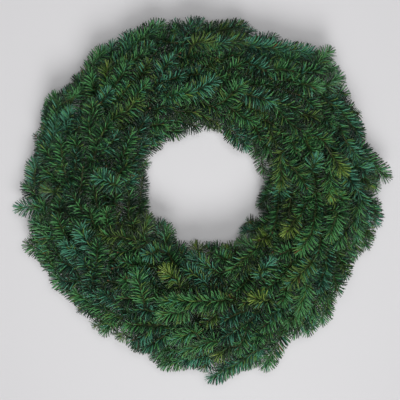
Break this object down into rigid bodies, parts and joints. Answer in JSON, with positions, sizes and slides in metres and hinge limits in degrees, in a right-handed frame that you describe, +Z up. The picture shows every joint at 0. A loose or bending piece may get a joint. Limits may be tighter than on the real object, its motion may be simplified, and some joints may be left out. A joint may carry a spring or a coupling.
{
  "type": "fresh evergreen wreath",
  "caption": "Round wreath of forked fir sprays, all laid clockwise, held in bunches by the folded clamps of a welded wire ring frame, with an open middle.",
  "frame": {"origin": "centre of the wreath's bounding box on the surface that it lies on", "axes": "+Z up, out of the wreath's face; +Y towards the top of the wreath as it is seen from above; +X to the right. The sprays run clockwise seen from +Z"},
  "size_m": [0.5693, 0.5553, 0.105],
  "materials": {
    "painted_wire": "dark green paint on steel wire, satin, scuffed at the welds",
    "fir_foliage": "fresh fir needles with a waxy satin bloom, on yellow-brown twigs"
  },
  "bodies": {
    "root": {"ring_frame": "painted_wire", "bunch1_inner_low_spray": "fir_foliage", "bunch1_inner_crown_spray": "fir_foliage", "bunch1_crown_spray": "fir_foliage", "bunch1_outer_crown_spray": "fir_foliage", "bunch1_outer_rim_spray": "fir_foliage", "bunch1_outer_low_spray": "fir_foliage", "bunch2_inner_low_spray": "fir_foliage", "bunch2_inner_crown_spray": "fir_foliage", "bunch2_crown_spray": "fir_foliage", "bunch2_outer_crown_spray": "fir_foliage", "bunch2_outer_rim_spray": "fir_foliage", "bunch2_outer_low_spray": "fir_foliage", "bunch3_inner_low_spray": "fir_foliage", "bunch3_inner_crown_spray": "fir_foliage", "bunch3_crown_spray": "fir_foliage", "bunch3_outer_crown_spray": "fir_foliage", "bunch3_outer_rim_spray": "fir_foliage", "bunch3_outer_low_spray": "fir_foliage", "bunch4_inner_low_spray": "fir_foliage", "bunch4_inner_crown_spray": "fir_foliage", "bunch4_crown_spray": "fir_foliage", "bunch4_outer_crown_spray": "fir_foliage", "bunch4_outer_rim_spray": "fir_foliage", "bunch4_outer_low_spray": "fir_foliage", "bunch5_inner_low_spray": "fir_foliage", "bunch5_inner_crown_spray": "fir_foliage", "bunch5_crown_spray": "fir_foliage", "bunch5_outer_crown_spray": "fir_foliage", "bunch5_outer_rim_spray": "fir_foliage", "bunch5_outer_low_spray": "fir_foliage", "bunch6_inner_low_spray": "fir_foliage", "bunch6_inner_crown_spray": "fir_foliage", "bunch6_crown_spray": "fir_foliage", "bunch6_outer_crown_spray": "fir_foliage", "bunch6_outer_rim_spray": "fir_foliage", "bunch6_outer_low_spray": "fir_foliage", "bunch7_inner_low_spray": "fir_foliage", "bunch7_inner_crown_spray": "fir_foliage", "bunch7_crown_spray": "fir_foliage", "bunch7_outer_crown_spray": "fir_foliage", "bunch7_outer_rim_spray": "fir_foliage", "bunch7_outer_low_spray": "fir_foliage", "bunch8_inner_low_spray": "fir_foliage", "bunch8_inner_crown_spray": "fir_foliage", "bunch8_crown_spray": "fir_foliage", "bunch8_outer_crown_spray": "fir_foliage", "bunch8_outer_rim_spray": "fir_foliage", "bunch8_outer_low_spray": "fir_foliage", "bunch9_inner_low_spray": "fir_foliage", "bunch9_inner_crown_spray": "fir_foliage", "bunch9_crown_spray": "fir_foliage", "bunch9_outer_crown_spray": "fir_foliage", "bunch9_outer_rim_spray": "fir_foliage", "bunch9_outer_low_spray": "fir_foliage"}
  },
  "joints": []
}
